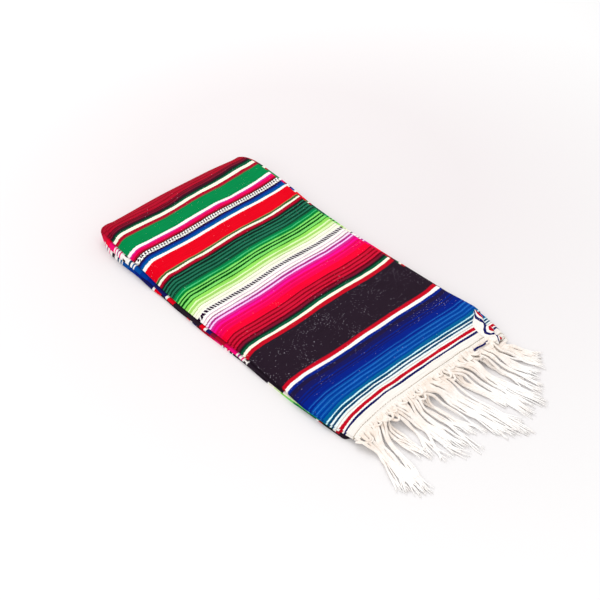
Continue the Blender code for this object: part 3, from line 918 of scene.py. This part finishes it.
def make_fringe(name, tufts, layer, drop, seed):
    rng = random.Random(seed)
    paths = []
    for tuft in tufts:
        count = tuft[-1]
        for i in range(count):
            share = (i + 0.5) / count
            x = (lerp(tuft[0], tuft[1], share) + rng.gauss(0, 0.6)) * MM
            root = hem_edge(x, layer)
            ledge = hem_y(x) - second_hem(x) - (6 if layer == 1 else 3) * MM
            paths += yarns_of(lock_middle(tuft, share, root, ledge, drop, rng), rng)
            if layer == 1 and i % 4 == 1:
                span, reach = (11 + 8 * rng.random()) * MM, (8 + 8 * rng.random()) * MM
                paths += yarns_of(edge_loop(x, layer, rng, span, reach), rng, 3, 1.1 * MM)
    if layer == 1:
        for x, span, reach in SLACK_LOOPS:
            paths += yarns_of(edge_loop(x * MM, layer, rng, span * MM, reach * MM), rng, 4, 1.5 * MM)
    obj = tubes(name, paths)
    obj.data.materials.append(yarn)
    return obj


STITCH = 5.4 * MM               # from one stitch to the next
STITCH_X = (-146 * MM, 150 * MM)


def hem_stitches():
    """The row of stitches that holds the doubled hem down."""
    paths = []
    x = STITCH_X[0]
    while x < STITCH_X[1]:
        point = []
        for k in range(6):
            t = k / 5
            here = x + STITCH * 0.66 * t
            y = hem_y(here) + HEM_BAND + 0.4 * MM + 0.5 * MM * t
            z = height_of("A1", here, y) + WALL / 2 + 0.6 * MM * math.sin(math.pi * t)
            point.append(((here, y, z), 0.45 * MM))
        paths.append(point)
        x += STITCH
    obj = tubes("hem_stitches", paths, sides=6)
    obj.data.materials.append(yarn)
    return obj


RUFFLE_Y = (-254 * MM, -316 * MM)
RUFFLE_ROWS = 44
RUFFLE_COLUMNS = 18


def hem_corner():
    """The second hem's corner at the lengthwise fold, turned out in a small ruffle."""
    points, places = [], []
    for i in range(RUFFLE_ROWS + 1):
        a = i / RUFFLE_ROWS
        y = lerp(*RUFFLE_Y, a)
        row, place = [], []
        for j in range(RUFFLE_COLUMNS + 1):
            b = j / RUFFLE_COLUMNS
            ruffle = math.sin(a * 13.5 + 0.2)
            spread = ease(a * 3) * ease((1 - a) * 5 + 0.3)
            inner = lerp(-9, -30, ease(a * 3.2)) + 12 * ease(a * 2 - 1)
            x = bundle(RIGHT, y) + lerp(inner, (3.5 + 3 * ruffle) * spread, b) * MM
            over = bundle(TOP, y) + (0.6 + 2.2 * math.sin(math.pi * b)) * MM
            under = (5.5 + 1.6 * ruffle) * MM
            z = lerp(over, under, ease((b - 0.55) / 0.45) * (0.4 + 0.6 * ease(a * 3)))
            z += 1.0 * MM * ruffle * math.sin(math.pi * b) * spread
            row.append((x, y + 3 * MM * math.sin(b * 3.4 + 6 * a), z))
            place.append((CUT_WIDTH / 2 + a * 60 * MM, (17 + 17 * b + 6 * ruffle * (0.35 + 0.65 * b)) * MM))
        points.append(row)
        places.append(place)
    obj = wall_of("hem_corner", np.array(points), np.array(places), WALL * 0.7)
    obj.data.materials.append(cloth)
    return obj


STRIP_X = (98 * MM, 130 * MM)
STRIP_ROWS = 24
STRIP_COLUMNS = 4


def navy_hem_strip():
    """A thin navy strip lying on the hem's edge beside the fold."""
    points, places = [], []
    for i in range(STRIP_ROWS + 1):
        x = lerp(*STRIP_X, i / STRIP_ROWS)
        row, place = [], []
        for j in range(STRIP_COLUMNS + 1):
            y = hem_y(x) + (lerp(-5.2, -2.2, j / STRIP_COLUMNS) + 0.8 * math.sin(i * 0.3)) * MM
            z = height_of("A1", x, hem_y(x)) + WALL / 2 + (3.0 + 0.6 * math.sin(j * 0.78)) * MM
            row.append((x, y, z))
            place.append((x + CUT_WIDTH / 4, 23.5 * MM))
        points.append(row)
        places.append(place)
    obj = wall_of("navy_hem_strip", np.array(points), np.array(places), 0.5 * MM)
    obj.data.materials.append(cloth)
    return obj


cloth = cloth_material()
yarn = yarn_material()

points, places = cloth_grid()
serape = wall_of("serape_cloth", points, places, WALL)
serape.data.materials.append(cloth)
top_fringe = make_fringe("fringe_yarns_top", TOP_TUFTS, 1, 34 * MM, 4)
second_fringe = make_fringe("fringe_yarns_second", SECOND_TUFTS, 2, 14 * MM, 9)
stitches = hem_stitches()
corner = hem_corner()
navy_strip = navy_hem_strip()

for obj in (serape, corner, navy_strip, top_fringe, second_fringe, stitches):
    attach(obj, "root")
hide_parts("top_layers", "lower_layers")
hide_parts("top_fringe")
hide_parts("second_fringe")

# Floor, light and camera. The paper carries painted shade: it is darker towards a place behind the blanket
# and paler further from it.

floor_mesh = bpy.data.meshes.new("studio_floor")
floor_mesh.from_pydata([(-6, -6, 0), (6, -6, 0), (6, 6, 0), (-6, 6, 0)], [], [(0, 1, 2, 3)])
floor = bpy.data.objects.new("studio_floor", floor_mesh)
bpy.context.scene.collection.objects.link(floor)
paper = Nodes("studio_paper")
where = paper.tree.nodes.new("ShaderNodeTexCoord")
distance = paper.tree.nodes.new("ShaderNodeVectorMath")
distance.operation = "DISTANCE"
paper.put(distance.inputs[0], where.outputs["Object"])
distance.inputs[1].default_value = (0.25, 0.2, 0)
# Painted shade: darker near that place, paler further out.
out_of_painted_shade = paper.remap(distance.outputs["Value"], 0.3, 0.9, 0, 1)
paper.put(paper.shader.inputs["Base Color"],
          paper.mix(out_of_painted_shade, (0.737, 0.702, 0.707, 1), (0.83, 0.83, 0.83, 1)))
paper.shader.inputs["Roughness"].default_value = 0.9
paper.shader.inputs["Specular IOR Level"].default_value = 0.1
floor.data.materials.append(paper.material)


def area_light(name, place, size, power, colour=(1, 1, 1)):
    lamp = bpy.data.lights.new(name, "AREA")
    lamp.size = size
    lamp.energy = power
    lamp.color = colour
    obj = bpy.data.objects.new(name, lamp)
    obj.location = place
    obj.rotation_euler = (-Vector(place)).to_track_quat("-Z", "Y").to_euler()
    bpy.context.scene.collection.objects.link(obj)
    return obj


area_light("key", (0.5, 1.4, 2.2), 2.2, 30)
area_light("fill", (-1.9, -0.9, 1.8), 2.0, 18)

world = bpy.data.worlds.new("studio")
world.use_nodes = True
world.node_tree.nodes["Background"].inputs["Color"].default_value = (1, 0.99, 0.99, 1)
world.node_tree.nodes["Background"].inputs["Strength"].default_value = 0.86
bpy.context.scene.world = world

PITCH_DOWN = math.radians(44.05)
ROLL = math.radians(4.2)
HEADING = math.radians(48)
PICTURE = 600                   # width of the picture in pixels
FOCAL = 835 / PICTURE           # focal length against that width
SENSOR = 36                     # in mm
CAMERA_AT = (-0.7127, -0.6755, 0.9219)
ahead = Vector((math.sin(HEADING) * math.cos(PITCH_DOWN), math.cos(HEADING) * math.cos(PITCH_DOWN),
                -math.sin(PITCH_DOWN)))
level = Vector((math.cos(HEADING), -math.sin(HEADING), 0))
over = level.cross(ahead)
right = level * math.cos(ROLL) + over * math.sin(ROLL)
up = over * math.cos(ROLL) - level * math.sin(ROLL)
camera_data = bpy.data.cameras.new("camera")
camera_data.sensor_width = SENSOR
camera_data.lens = FOCAL * SENSOR
camera_data.shift_y = -1 / PICTURE
camera = bpy.data.objects.new("camera", camera_data)
turned = Matrix((right, up, -ahead)).transposed().to_4x4()
camera.matrix_world = Matrix.Translation(CAMERA_AT) @ turned
bpy.context.scene.collection.objects.link(camera)
bpy.context.scene.camera = camera
bpy.context.scene.view_settings.view_transform = "Standard"
